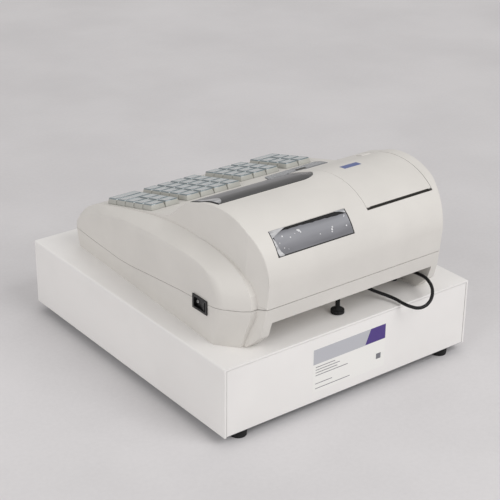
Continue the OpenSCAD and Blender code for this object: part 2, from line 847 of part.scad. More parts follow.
module hump_layer(a, b) {
    difference() {
        translate([0, 0, top_z]) across(op_window_x0 - 4, hump_half_w - 1) polygon(hump_outline(a));
        translate([0, 0, top_z]) across(op_window_x0 - 5, hump_half_w) polygon(hump_outline(b));
    }
}

// The operator's window is a strip with one half-round end.
module operator_plan(margin) {
    r = (op_window_y1 - op_window_y0) / 2;
    translate([op_window_x0 + r, op_window_y0 - margin]) {
        square([op_window_x1 - op_window_x0 - r + margin, 2 * (r + margin)]);
    }
    translate([op_window_x0 + r, op_window_y0 + r]) circle(r + margin);
}

module customer_plan(margin) {
    translate([cu_window_x - cu_window_w / 2 - margin, cu_window_y0 - margin]) {
        square([cu_window_w + 2 * margin, cu_window_y1 - cu_window_y0 + 2 * margin]);
    }
}

module operator_window() {
    color([0.2, 0.2, 0.22, 0.6]) place() window_band(0, window_in, window_in + glass_t, -window_seam);
}

module customer_window() {
    color([0.35, 0.35, 0.38, 0.8]) place() window_band(1, window_in, window_in + glass_t, -window_seam);
}

// What reaches up to the inner face of the hump's wall.
module under_hump() {
    intersection() {
        children();
        translate([0, 0, top_z]) across(-hump_half_w, hump_half_w) polygon(hump_outline(wall));
    }
}

op_tilt = 35;
module on_operator_display() {
    x = (op_window_x0 + op_window_x1) / 2;
    translate([x, 108, top_z + crest[1] - 11.3]) rotate([op_tilt, 0, 0]) children();
}

// The display's board runs on as two arms, up to the hump's wall behind the window.
module operator_display() {
    color("darkslategray") place() {
        on_operator_display() {
            box(-62, 62, -14, 14, -5 - eps, 4);
            box(-70, 70, -17, 17, -8, -5);
        }
        under_hump() on_operator_display() for (x = [-70, 64]) box(x, x + 6, 16, 80, -8, -5);
    }
}

// Frame of the customer's window: X along it, Y up its slope, Z out of it.
cu_angle = atan2(hump_z(cu_window_y0) - hump_z(cu_window_y1), cu_window_y1 - cu_window_y0);
module on_customer_window() {
    translate([cu_window_x, cu_window_y1, top_z + hump_z(cu_window_y1)]) {
        rotate([-cu_angle, 0, 0]) mirror([0, 1, 0]) children();
    }
}

module customer_display() {
    half = cu_window_w / 2 + ledge_w + 5;
    color("darkslategray") place() {
        on_customer_window() {
            box(-48, 48, 6, 27, -14 - eps, -5);
            box(-half, half, 2, 31, -16, -14);
        }
        under_hump() on_customer_window() for (x = [-half, half - 4]) box(x, x + 4, 12, 16, -15, 6);
    }
}

// ---------- Printer ----------

// The cover's hinge axis lies just under the hump's surface, at the cover's rear edge.
cover_rear = 213.5;
cover_front = 82.5;
cover_t = 2.4;
hinge_pin_r = 1.4;
hinge_barrel_r = 2.6;
hinge_depth = hinge_barrel_r + 0.2;
hinge_fall = hump_fall(cover_rear);
hinge_y = cover_rear - hinge_depth * sin(hinge_fall);
hinge_z = hump_z(cover_rear) - hinge_depth * cos(hinge_fall);
arm_w = 5;
ear_w = 4;

// The cover's part of the hump's wall, from depth a to depth b.
module cover_band(a, b, side, front, rear) {
    translate([0, 0, top_z]) intersection() {
        across(cover_x0 + side, cover_x1 - side) difference() {
            polygon(hump_outline(a));
            polygon(hump_outline(b));
        }
        box(-200, 0, front, rear, 100, 200);
    }
}

module cover_hole() {
    cover_band(-5, wall + 6, 0, cover_front - cover_seam, cover_rear + cover_gap);
}

module printer_cover() {
    color("gainsboro") place() {
        cover_band(0, cover_t, cover_seam, cover_front, cover_rear);
        for (x = [cover_x0 + cover_seam, cover_x1 - cover_seam - arm_w]) hinge_arm(x);
        rod_x(cover_x0 - ear_w, cover_x1 + ear_w, hinge_y, top_z + hinge_z, hinge_pin_r);
        cover_grip();
    }
}

// An arm joins the cover's wall to the barrel round its pin.
module hinge_arm(x) {
    rod_x(x, x + arm_w, hinge_y, top_z + hinge_z, hinge_barrel_r);
    translate([0, 0, top_z]) across(x, x + arm_w) intersection() {
        polygon(hump_outline(0.2));
        polygon([[hinge_y - 12, hump_z(hinge_y - 12) - 5], [hinge_y - 12, hump_top], [hinge_y, hump_top],
            [hinge_y, hinge_z - hinge_barrel_r]]);
    }
}

module cover_grip() {
    y0 = cover_front + 10;
    z0 = hump_z(y0) + 1.2;
    translate([0, 0, top_z]) across(cover_x0 + 8, cover_x0 + 24) polygon([[y0, z0], [y0, z0 + 3],
        [y0 + 2, z0 + 3.8], [y0 + 10, z0 + 6.2], [y0 + 12, z0 + 5.8], [y0 + 12, z0 + 3]]);
}

// Ears inside the upper housing that hold the cover's pin.
module cover_ears() {
    for (x = [cover_x0 - ear_w - 0.5, cover_x1 + 0.5]) {
        translate([0, 0, top_z]) across(x, x + ear_w) intersection() {
            polygon(hump_outline(0.4));
            translate([hinge_y, hinge_z]) square([12, 14], center = true);
        }
    }
}

slot_x1 = -34;
slot_x0 = slot_x1 - paper_w - 0.5;
slot_l = 4.5;
slot_y1 = cover_front - cover_seam;
slot_y0 = slot_y1 - slot_l;
bar_z = crest[1] - 4.7;
bar_t = 2.2;
bar_l = 15;
bar_x0 = slot_x0 + 14;
bar_x1 = 20;
flange_t = 1.8;

// The paper leaves between the cover's front edge and the tear bar.
module paper_slot() {
    box(slot_x0, slot_x1, slot_y0, slot_y1 + 1, top_z + 130, top_z + hump_top);
}

// A clear plate that stands forward from the crest; paper is torn off against its rear edge. Its flange
// lies on the hump's front slope.
module tear_bar() {
    slope_l = norm(crest - hump_foot);
    flange_top = (bar_z + bar_t - hump_foot[1]) / sin(slope_angle);
    color("darkgray") place() difference() {
        union() {
            translate([0, 0, top_z + bar_z]) linear_extrude(bar_t) {
                polygon([[bar_x0, slot_y0], [bar_x0 - 1, slot_y0 - 5], [bar_x0 + 4, slot_y0 - bar_l + 3],
                    [bar_x0 + 11, slot_y0 - bar_l], [bar_x1, slot_y0 - bar_l + 3.5], [bar_x1, slot_y0]]);
            }
            translate([0, 0, top_z]) across(bar_x0, bar_x1 - 30) polygon([
                slope_point(slope_l / 2, 0), slope_point(slope_l / 2, flange_t),
                slope_point(flange_top, flange_t), slope_point(flange_top, 0)]);
        }
        hump_body(0);
    }
}

// Middle of the paper and the printer's side walls.
paper_x = (slot_x0 + slot_x1) / 2;
roll_y = 158;
roll_z = 126;
well_r = roll_r + 0.4;
cheek_gap = 1;
frame_t = 2.2;
platen_y = 98;
platen_z = 146;
// The printer's heights are given for a crest of 153.3; the whole printer goes up and down with the crest.
printer_z = top_z + crest[1] - 153.3;

module printer_frame() {
    x0 = paper_x - paper_w / 2 - cheek_gap;
    x1 = paper_x + paper_w / 2 + cheek_gap;
    color("darkgray") place() translate([0, 0, printer_z]) {
        difference() {
            union() {
                for (x = [x0 - frame_t, x1]) across(x, x + frame_t) printer_cheek();
                across(x0 - eps, x1 + eps) difference() {
                    translate([roll_y - well_r - 3, roll_z - well_r - 3]) square([2 * well_r + 6, well_r + 3]);
                    translate([roll_y, roll_z]) circle(well_r);
                }
                box(x0 - 40, x1, 80, 92, 118, 130);
                box(x0 - 40, x0 - 12, 84, 120, 118, 144);
                across(x0 - eps, x1 + eps) polygon([[82, 129], [93, 129], [96, 140], [89, 142.5], [84, 140]]);
            }
            for (x = [x0 - frame_t - 1, x1 - 1]) rod_x(x, x + frame_t + 2, platen_y, platen_z, shaft_r + fit);
        }
        for (x = [x0 + 5, x1 - 5], y = [bay_front + 5, bay_front + 27]) {
            translate([x, y, frame_leg_z]) cylinder(h = roll_z - well_r - 2 - frame_leg_z, r = 3);
        }
    }
}

frame_leg_z = top_z + bay_h + wall - printer_z;

module printer_cheek() {
    polygon([[82, 118], [84, 142], [92, 152], [112, 154], [150, 150], [186, 140], [roll_y + well_r + 3, 128],
        [roll_y + well_r + 3, 96], [roll_y - well_r - 3, 96], [roll_y - well_r - 3, 118]]);
}

module platen_roller() {
    color("darkslategray") place() translate([0, 0, printer_z]) {
        rod_x(paper_x - paper_w / 2, paper_x + paper_w / 2, platen_y, platen_z, platen_r);
        rod_x(paper_x - paper_w / 2 - 12, paper_x + paper_w / 2 + 5, platen_y, platen_z, shaft_r);
        rod_x(paper_x - paper_w / 2 - 11, paper_x - paper_w / 2 - 6, platen_y, platen_z, 5.6);
    }
}

module paper_roll() {
    color("white") place() translate([0, 0, printer_z]) difference() {
        rod_x(paper_x - paper_w / 2, paper_x + paper_w / 2, roll_y, roll_z, roll_r);
        rod_x(paper_x - paper_w, paper_x + paper_w, roll_y, roll_z, core_r);
    }
}

// ---------- Boards and power ----------

jack_x = -52;
jack_z = 20;
inlet_x = 70;

module main_board() {
    color("seagreen") place() translate([0, 0, top_z]) {
        box(-132, 132, -140, 60, floor_t + 7, floor_t + 8.6);
        for (x = [-120, 120], y = [-130, 50]) translate([x, y, floor_t]) cylinder(h = 7 + eps, r = 3.5);
        box(-30, 4, -60, -26, floor_t + 8.6, floor_t + 12);
        box(40, 58, -20, 30, floor_t + 8.6, floor_t + 14);
        for (x = [70:18:106]) translate([x, 20, floor_t + 8.6]) cylinder(h = 18, r = 6);
        jack();
    }
}

// The drawer's socket looks into the cable bay.
module jack() {
    difference() {
        box(jack_x - 8, jack_x + 8, bay_front - wall - 14, bay_front - 0.3, jack_z - 8, jack_z + 8);
        box(jack_x - 5, jack_x + 5, bay_front - 10, bay_front + 1, jack_z - 4, jack_z + 4);
    }
    box(jack_x - 12, jack_x + 12, bay_front - wall - 16, bay_front - wall - 14 + eps, floor_t, jack_z + 8);
}

module jack_hole() {
    half = 8 + loose;
    box(jack_x - half, jack_x + half, bay_front - wall - 1, bay_front + 1,
        top_z + jack_z - half, top_z + jack_z + half);
}

module inlet_hole() {
    half = 12 + loose;
    box(inlet_x - half, inlet_x + half, bay_front - wall - 1, bay_front + 1,
        top_z + 12 - loose, top_z + 28 + loose);
}

// Transformer with its laminated core, and the mains inlet that looks into the cable bay.
module power_supply() {
    color("dimgray") place() translate([0, 0, top_z]) {
        box(96, 150, 74, 130, floor_t, floor_t + 22);
        box(104, 142, 66, 138, floor_t + 4, floor_t + 18);
        box(110, 136, 84, 120, floor_t + 22 - eps, floor_t + 34);
        difference() {
            box(inlet_x - 12, inlet_x + 12, bay_front - wall - 16, bay_front - 0.3, 12, 28);
            box(inlet_x - 8.5, inlet_x + 8.5, bay_front - 12, bay_front + 1, 15.5, 24.5);
        }
        for (s = [-1, 1]) translate([inlet_x + s * 4.3, bay_front - 12.1, 20]) rotate([-90, 0, 0]) {
            cylinder(h = 9, r = 1.2);
        }
        box(inlet_x - 15, inlet_x + 15, bay_front - wall - 18, bay_front - wall - 16 + eps, floor_t, 28);
    }
}

// ---------- Power switch ----------

switch_y = 146;
switch_z = 47;
pivot_in = 5;

module switch_hole() {
    box(150, 200, switch_y - switch_l / 2 + 1.5, switch_y + switch_l / 2 - 1.5,
        top_z + switch_z - switch_h / 2 + 1.5, top_z + switch_z + switch_h / 2 - 1.5);
}

module switch_frame() {
    x0 = side_half_w;
    color("black") place() translate([0, 0, top_z]) difference() {
        union() {
            box(x0, x0 + 1.6, switch_y - switch_l / 2, switch_y + switch_l / 2,
                switch_z - switch_h / 2, switch_z + switch_h / 2);
            box(x0 - 22, x0 + eps, switch_y - switch_l / 2 + 1.8, switch_y + switch_l / 2 - 1.8,
                switch_z - switch_h / 2 + 1.8, switch_z + switch_h / 2 - 1.8);
        }
        box(x0 - 12, x0 + 3, switch_y - switch_l / 2 + 3.6, switch_y + switch_l / 2 - 3.6,
            switch_z - switch_h / 2 + 3.2, switch_z + switch_h / 2 - 3.2);
        translate([x0 - pivot_in, switch_y, switch_z - switch_h / 2 + 2]) {
            cylinder(h = switch_h - 4, r = 1.2 + fit);
        }
    }
}

// The rocker tips about an upright pin and rests with its front half pressed in.
module power_rocker() {
    half_l = switch_l / 2 - 4.8;
    half_h = switch_h / 2 - 3.6;
    color("black") place() translate([side_half_w - pivot_in, switch_y, top_z + switch_z]) {
        translate([0, 0, -switch_h / 2 + 2.2]) cylinder(h = switch_h - 4.4, r = 1.2);
        rotate([0, 0, -rocker_tilt]) translate([0, 0, -half_h]) linear_extrude(2 * half_h) {
            polygon([[-2, -half_l + 1], [4.6, -half_l], [3.6, 0], [4.6, half_l], [-2, half_l - 1], [-3.5, 0]]);
        }
    }
}

// ---------- Levelling foot and cable ----------

level_foot_y = hump_rear - level_foot_in;
level_stem_r = 3;

module levelling_foot() {
    color("black") place() translate([0, level_foot_y, top_z]) {
        translate([0, 0, 0.3]) cylinder(h = 5, r = level_foot_d / 2);
        translate([0, 0, 5.3 - eps]) cylinder(h = 3, r1 = 6, r2 = level_stem_r + 1);
        translate([0, 0, 5.3 - eps]) cylinder(h = bay_h + wall + 4 - 5.3, r = level_stem_r);
    }
}

grommet_r = 5;
grommet_rim = 2;
cable_hole = [10 - bay_half_w, bay_front + 16];

module cable_grommet() {
    color("black") place() translate([cable_hole[0], cable_hole[1], top_z]) difference() {
        union() {
            cylinder(h = grommet_rim, r = grommet_r + 1.2);
            translate([0, 0, -sheet - eps]) cylinder(h = sheet + 2 * eps, r = grommet_r - fit);
            translate([0, 0, -sheet - grommet_rim]) cylinder(h = grommet_rim, r = grommet_r + 1.2);
        }
        translate([0, 0, -10]) cylinder(h = 20, r = cable_d / 2 + fit);
    }
}

plug_l = 14;

module cable_plug() {
    color("black") place() translate([jack_x, bay_front, top_z + jack_z]) {
        box(-4.7, 4.7, -9.5, 8, -3.7, 3.7);
        box(-3.2, 3.2, 8 - eps, plug_l, -3.2, 3.2);
    }
}

// The cable's route: out of the plug, over the drawer's rear edge in a hanging loop, back into the bay and
// down through the grommet. Its first part is given from the socket's mouth and its second from the grommet.
from_socket = [
    [0, 14, 0], [0, 17, 0], [-0.5, 24, -0.5], [-4, 32, -3.5], [-10, 39, -7.5], [-16, 47, -10.5],
    [-22, 58, -12.5], [-26, 71, -14], [-27, 85, -15], [-29, 97, -15], [-33, 106, -14.5], [-40, 110, -13]
];
to_grommet = [
    [23, 94, 10], [15, 90, 14], [8, 84, 18], [3, 77, 21], [-1, 68, 23], [-4, 58, 24], [-5, 46, 24],
    [-4, 33, 23.5], [-2, 20, 22], [-0.5, 9.5, 18.5], [0, 3, 12.5], [0, 0, 6], [0, 0, -2], [0, 0, -7]
];
cable_route = concat(
    [for (p = from_socket) [jack_x, bay_front, jack_z] + p],
    [for (p = to_grommet) [cable_hole[0], cable_hole[1], 0] + p]
);

module drawer_cable() {
    color("black") place() translate([0, 0, top_z]) tube(cable_route, cable_d / 2, 8, [0.3, 0.2, 1]);
}

// ---------- One line for each node ----------

drawer_case();
drawer_rear_panel();
drawer_base();
drawer_feet();
slide_rails();
tray_runners();
drawer_tray();
drawer_front();
till_insert();
bill_clips();
lock_barrel();
solenoid_latch();
latch_lever();
kick_spring();
lower_housing();
upper_housing();
keyboard_plate();
main_board();
power_supply();
printer_frame();
platen_roller();
paper_roll();
tear_bar();
printer_cover();
operator_window();
operator_display();
customer_window();
customer_display();
switch_frame();
power_rocker();
levelling_foot();
drawer_cable();
cable_plug();
cable_grommet();
for (n = [0:11]) numeric_key(n);
for (n = [0:1]) total_key(n);
for (n = [0:2]) function_row(n);
for (n = [0:4]) department_row(n);
for (n = [0:0]) feed_key();
for (n = [0:2]) mode_row(n);
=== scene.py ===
# Looks of the ticket register: camera, floor and light, finishes, and the pieces that dress the solids.
# Lengths are written in millimetres in the register's own frame and turned into metres where they are used.

import math

import bpy
from mathutils import Matrix, Vector


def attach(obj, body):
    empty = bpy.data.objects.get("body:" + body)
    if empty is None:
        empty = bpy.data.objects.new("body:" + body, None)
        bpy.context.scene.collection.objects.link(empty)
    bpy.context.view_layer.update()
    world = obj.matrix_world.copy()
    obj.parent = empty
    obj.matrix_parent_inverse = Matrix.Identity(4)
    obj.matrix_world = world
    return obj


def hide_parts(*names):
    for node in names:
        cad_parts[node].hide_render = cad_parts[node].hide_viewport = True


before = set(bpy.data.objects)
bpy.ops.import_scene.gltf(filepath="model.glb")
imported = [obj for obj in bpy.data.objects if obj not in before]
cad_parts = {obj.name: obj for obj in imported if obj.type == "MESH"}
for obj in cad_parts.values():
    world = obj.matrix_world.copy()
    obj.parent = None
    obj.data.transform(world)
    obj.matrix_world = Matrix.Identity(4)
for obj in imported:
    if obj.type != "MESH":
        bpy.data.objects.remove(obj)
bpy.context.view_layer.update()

MM = 0.001
MID_Y = 1.35
TOP = 108.9
PANEL_Y = 229.0


def at(x, y, z):
    """A point of the register's frame, z above the counter."""
    return Vector((x, y - MID_Y, z)) * MM


def above(x, y, z):
    """A point of the register's frame, z above the drawer's top."""
    return at(x, y, z + TOP)


# ---------- Camera ----------

EYE = (1.0487, 1.37425, 0.9372)
AZIMUTH = math.radians(142.482)
ELEVATION = math.radians(25.19)
ROLL = math.radians(0.519)
FOCAL_PIXELS = 1377.2
FRAME_PIXELS = 500
SENSOR = 36


def set_camera():
    back = Vector((
        math.sin(AZIMUTH) * math.cos(ELEVATION),
        -math.cos(AZIMUTH) * math.cos(ELEVATION),
        math.sin(ELEVATION),
    ))
    right = (-back).cross(Vector((0, 0, 1))).normalized()
    up = right.cross(-back)
    turned_right = right * math.cos(ROLL) + up * math.sin(ROLL)
    turned_up = up * math.cos(ROLL) - right * math.sin(ROLL)
    data = bpy.data.cameras.new("camera")
    data.sensor_width = SENSOR
    data.lens = FOCAL_PIXELS * SENSOR / FRAME_PIXELS
    data.clip_end = 50
    camera = bpy.data.objects.new("camera", data)
    turn = Matrix((turned_right, turned_up, back)).transposed().to_4x4()
    camera.matrix_world = Matrix.Translation(EYE) @ turn
    bpy.context.scene.collection.objects.link(camera)
    bpy.context.scene.camera = camera


set_camera()


# ---------- Modelling helpers ----------


def alone(piece):
    """Makes a piece the only selected and the active one."""
    bpy.ops.object.select_all(action="DESELECT")
    piece.select_set(True)
    bpy.context.view_layer.objects.active = piece


def edit(piece):
    alone(piece)
    bpy.ops.object.mode_set(mode="EDIT")


def leave():
    bpy.ops.object.mode_set(mode="OBJECT")


def choose(piece, test):
    """In edit mode, selects the faces for which test holds."""
    bpy.ops.mesh.select_all(action="DESELECT")
    bpy.ops.mesh.select_mode(type="FACE")
    leave()
    for face in piece.data.polygons:
        face.select = test(face.center, face.normal)
    bpy.ops.object.mode_set(mode="EDIT")


def settle(piece):
    """Puts the piece's place and turn into its mesh."""
    alone(piece)
    bpy.ops.object.transform_apply(location=True, rotation=True, scale=True)


def block(name, low, high):
    """A block between two corners in metres, to be shaped further."""
    low, high = Vector(low), Vector(high)
    bpy.ops.object.select_all(action="DESELECT")
    bpy.ops.mesh.primitive_cube_add(size=1, location=(low + high) / 2)
    piece = bpy.context.active_object
    piece.name = name
    piece.scale = high - low
    settle(piece)
    return piece


def modify(piece, kind, **settings):
    """Adds a modifier and applies it."""
    alone(piece)
    modifier = piece.modifiers.new(kind.lower(), kind)
    for key, value in settings.items():
        setattr(modifier, key, value)
    bpy.ops.object.modifier_apply(modifier=modifier.name)


def round_edges(piece, width, segments=2, angle=30):
    modify(piece, "BEVEL", width=width * MM, segments=segments, limit_method="ANGLE",
           angle_limit=math.radians(angle), use_clamp_overlap=False)


def smooth(piece, angle=32):
    alone(piece)
    bpy.ops.object.shade_smooth_by_angle(angle=math.radians(angle))


def even_normals(piece):
    modify(piece, "WEIGHTED_NORMAL", keep_sharp=True, weight=60)


def join(name, pieces):
    alone(pieces[0])
    for piece in pieces[1:]:
        piece.select_set(True)
    if len(pieces) > 1:
        bpy.ops.object.join()
    pieces[0].name = name
    return pieces[0]


def copy_of(piece, name):
    twin = bpy.data.objects.new(name, piece.data.copy())
    bpy.context.scene.collection.objects.link(twin)
    return twin


def merged_copy(node, name, flat=0.4):
    """A node's mesh as one skin without doubled corners or needless edges.

    Faces that bend by less than flat, in degrees, become one face.
    """
    piece = copy_of(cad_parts[node], name)
    edit(piece)
    bpy.ops.mesh.select_all(action="SELECT")
    bpy.ops.mesh.remove_doubles(threshold=0.01 * MM)
    bpy.ops.mesh.dissolve_limited(angle_limit=math.radians(flat))
    leave()
    if piece.data.has_custom_normals:
        bpy.ops.mesh.customdata_custom_splitnormals_clear()
    return piece


# ---------- Finishes ----------


def tint(red, green, blue):
    """A colour written as 0 to 255 on a screen, as the light that it gives back."""
    def light(value):
        value /= 255
        return value / 12.92 if value <= 0.04045 else ((value + 0.055) / 1.055) ** 2.4
    return (light(red), light(green), light(blue), 1)


class Amount:
    """A number that varies over a surface. Sums and products of amounts are amounts too."""

    def __init__(self, finish, socket):
        self.finish = finish
        self.socket = socket

    def combined(self, operation, first, second):
        node = self.finish.tree.nodes.new("ShaderNodeMath")
        node.operation = operation
        self.finish.feed(node.inputs[0], first)
        self.finish.feed(node.inputs[1], second)
        return Amount(self.finish, node.outputs[0])

    def __add__(self, other):
        return self.combined("ADD", self, other)

    def __radd__(self, other):
        return self.combined("ADD", other, self)

    def __sub__(self, other):
        return self.combined("SUBTRACT", self, other)

    def __rsub__(self, other):
        return self.combined("SUBTRACT", other, self)

    def __mul__(self, other):
        return self.combined("MULTIPLY", self, other)

    def __rmul__(self, other):
        return self.combined("MULTIPLY", other, self)


class Finish:
    """A material whose Principled shader is fed by amounts that vary over the piece."""

    def __init__(self, name, **constants):
        self.material = bpy.data.materials.new(name)
        self.material.use_nodes = True
        self.tree = self.material.node_tree
        self.shader = self.tree.nodes["Principled BSDF"]
        self.place = self.node("ShaderNodeTexCoord").outputs["Object"]
        for key, value in constants.items():
            self.shader.inputs[key.replace("_", " ").title().replace("Ior", "IOR")].default_value = value

    def feed(self, slot, value):
        if isinstance(value, Amount):
            value = value.socket
        if isinstance(value, bpy.types.NodeSocket):
            self.tree.links.new(value, slot)
        else:
            slot.default_value = value

    def node(self, kind, settings=None, links=None):
        node = self.tree.nodes.new(kind)
        for key, value in (settings or {}).items():
            setattr(node, key, value)
        for key, value in (links or {}).items():
            self.feed(node.inputs[key], value)
        return node

    def stretched(self, x, y, z, turn=(0, 0, 0)):
        """The piece's coordinates, each multiplied by a number."""
        return self.node("ShaderNodeMapping", None, {
            "Vector": self.place, "Scale": (x, y, z), "Rotation": turn,
        }).outputs[0]

    def noise(self, size, detail=3, rough=0.5, place=None):
        """Clouds whose lumps measure about size in millimetres, from 0 to 1."""
        node = self.node("ShaderNodeTexNoise", None, {
            "Vector": place or self.place, "Scale": 1 / (size * MM), "Detail": detail, "Roughness": rough,
        })
        return Amount(self, node.outputs["Fac"])

    def specks(self, size):
        """Small cells, 0 in the middle of each."""
        node = self.node("ShaderNodeTexVoronoi", None, {"Vector": self.place, "Scale": 1 / (size * MM)})
        return Amount(self, node.outputs["Distance"])

    def along(self, axis):
        split = self.node("ShaderNodeSeparateXYZ", None, {0: self.place})
        return Amount(self, split.outputs[axis])

    def ramp(self, amount, low, high):
        """From 0 where the amount is low to 1 where it is high."""
        node = self.node("ShaderNodeMapRange", {"interpolation_type": "SMOOTHSTEP"}, {
            "Value": amount, "From Min": low, "From Max": high,
        })
        return Amount(self, node.outputs[0])

    def mixed(self, share, first, second):
        node = self.node("ShaderNodeMix", {"data_type": "RGBA"}, {0: share, 6: first, 7: second})
        return node.outputs[2]

    def colour(self, value):
        self.feed(self.shader.inputs["Base Color"], value)

    def roughness(self, value):
        self.feed(self.shader.inputs["Roughness"], value)

    def relief(self, height, depth, strength=1.0):
        """Bumps of a depth in millimetres."""
        bump = self.node("ShaderNodeBump", None, {
            "Height": height, "Distance": depth * MM, "Strength": strength,
        })
        self.feed(self.shader.inputs["Normal"], bump.outputs[0])


def shaded(colour, factor):
    return tuple(min(1.0, c * factor) for c in colour[:3]) + (1,)


def moulded(name, colour, grain=0.35, roughness=0.5, depth=0.03, variation=0.05):
    """Moulded plastic with a fine spark-eroded grain and faint unevenness of tone."""
    finish = Finish(name, specular_ior_level=0.35)
    clouds = finish.noise(90, detail=4)
    grains = finish.noise(grain, detail=2)
    finish.colour(finish.mixed(finish.ramp(clouds * 0.8 + grains * 0.2, 0.3, 0.7),
                               shaded(colour, 1 - variation), shaded(colour, 1 + variation * 0.5)))
    finish.roughness(roughness + (finish.noise(14) - 0.5) * 0.12 + (grains - 0.5) * 0.1)
    finish.relief(grains + finish.specks(grain * 2.2) * 0.5, depth, 0.45)
    return finish


def painted(name, colour, roughness=0.42, peel=0.9, depth=0.03):
    """Powder coat on sheet steel, with its orange peel."""
    finish = Finish(name, specular_ior_level=0.45)
    clouds = finish.noise(140, detail=3)
    peels = finish.noise(peel, detail=2, rough=0.4)
    finish.colour(finish.mixed(finish.ramp(clouds, 0.3, 0.7), shaded(colour, 0.965), shaded(colour, 1.02)))
    finish.roughness(roughness + (peels - 0.5) * 0.14 + (clouds - 0.5) * 0.08)
    finish.relief(peels + finish.noise(0.25) * 0.25, depth, 0.4)
    return finish


def metal(name, colour, roughness=0.32, grain=(1, 1, 30), streak=2.5, depth=0.008):
    """Drawn or brushed metal, its streaks drawn out along the axes with small factors."""
    finish = Finish(name, metallic=1.0)
    streaks = finish.noise(streak, detail=4, rough=0.65, place=finish.stretched(*grain))
    clouds = finish.noise(30)
    finish.colour(finish.mixed(finish.ramp(streaks * 0.7 + clouds * 0.3, 0.3, 0.7),
                               shaded(colour, 0.86), shaded(colour, 1.05)))
    finish.roughness(roughness + (streaks - 0.5) * 0.2 + (clouds - 0.5) * 0.1)
    finish.relief(streaks, depth, 0.4)
    return finish


def rubber(name, colour, roughness=0.72):
    finish = Finish(name, specular_ior_level=0.3)
    grains = finish.noise(0.5, detail=3)
    dust = finish.noise(11, detail=4)
    finish.colour(finish.mixed(finish.ramp(dust, 0.45, 0.8), colour, shaded(colour, 1.7)))
    finish.roughness(roughness + (grains - 0.5) * 0.2)
    finish.relief(grains, 0.04, 0.5)
    return finish


def glossy(name, colour, roughness=0.08, variation=0.1, coat=0.6):
    """Polished plastic with faint smears."""
    finish = Finish(name, coat_weight=coat, coat_roughness=0.05)
    smears = finish.noise(16, detail=5, rough=0.6, place=finish.stretched(1, 3, 1))
    finish.colour(finish.mixed(smears, shaded(colour, 1 - variation), shaded(colour, 1 + variation)))
    finish.roughness(roughness + finish.ramp(smears, 0.4, 0.75) * 0.12)
    finish.relief(finish.noise(0.8), 0.004, 0.3)
    return finish


housing = moulded("housing_plastic", tint(216, 213, 208))
case_paint = painted("case_paint", tint(236, 234, 232))
plain_steel = metal("zinc_steel", tint(178, 181, 184), grain=(1, 0.05, 1))
foot_rubber = rubber("foot_rubber", tint(26, 26, 27))
tray_paint = painted("tray_paint", tint(120, 121, 122), roughness=0.5)
insert_plastic = moulded("insert_plastic", tint(46, 47, 50), grain=0.5, roughness=0.55)
spring_steel = metal("spring_steel", tint(196, 198, 200), roughness=0.22, grain=(1, 0.1, 1))
lock_chrome = metal("lock_chrome", tint(216, 217, 220), roughness=0.1, grain=(1, 1, 1), depth=0.002)
latch_brass = metal("yellow_zinc", tint(190, 165, 105), roughness=0.35, grain=(1, 0.2, 1))
inner_plastic = moulded("inner_plastic", tint(88, 90, 94), grain=0.6, roughness=0.6)
supply_iron = painted("transformer_varnish", tint(60, 58, 56), roughness=0.35)
platen_rubber = rubber("platen_rubber", tint(40, 41, 44), roughness=0.6)
display_dark = glossy("display_dark", tint(26, 40, 38), roughness=0.15)
switch_black = glossy("switch_black", tint(13, 13, 14), roughness=0.34, coat=0.05)
cable_black = rubber("cable_black", tint(22, 22, 24), roughness=0.42)
smoked = glossy("smoked_window", tint(18, 18, 20), roughness=0.14, coat=0.1)
hinge_shade = moulded("hinge_shade", tint(62, 60, 57))
key_body = moulded("key_body", tint(180, 180, 174), grain=0.3, roughness=0.35, variation=0.04)
# The rim's dark teal is partly the clear cap's tint and partly painted shade for the caps' far edges. The
# top's light blue-grey is partly the cap's tint and partly a painted reflection of the sky.
key_rim_tint_and_shade = glossy("key_cap_rim_tint_and_shade", tint(116, 129, 134), roughness=0.12, coat=0.8)
key_top_tint_and_reflection = glossy("key_cap_top_tint_and_reflection", tint(182, 191, 193), roughness=0.1, variation=0.04, coat=0.8)


def board_finish():
    """Solder mask with tracks under it."""
    finish = Finish("board_green", specular_ior_level=0.5)
    tracks = finish.node("ShaderNodeTexBrick", {"offset": 0.35, "squash": 0.7}, {
        "Vector": finish.place, "Scale": 60, "Mortar Size": 0.03,
    })
    field = Amount(finish, tracks.outputs["Fac"])
    finish.colour(finish.mixed(field, tint(28, 92, 52), tint(52, 128, 74)))
    finish.roughness(0.35 + finish.noise(3) * 0.15)
    finish.relief(field, 0.05, 0.5)
    return finish


def paper_finish(name, colour):
    """Thin paper: fine fibres, nearly no gloss."""
    finish = Finish(name, specular_ior_level=0.2)
    fibres = finish.noise(0.9, detail=5, rough=0.7, place=finish.stretched(1, 4, 4))
    finish.colour(finish.mixed(fibres, shaded(colour, 0.93), shaded(colour, 1.03)))
    finish.roughness(0.75 + (fibres - 0.5) * 0.2)
    finish.relief(fibres, 0.02, 0.3)
    return finish


def print_finish(name, colour):
    """Ink on a smooth label."""
    finish = Finish(name, coat_weight=0.25, coat_roughness=0.2)
    dots = finish.noise(0.4, detail=2)
    finish.colour(finish.mixed(dots, shaded(colour, 0.9), shaded(colour, 1.08)))
    finish.roughness(0.42 + (dots - 0.5) * 0.15)
    finish.relief(dots, 0.006, 0.3)
    return finish


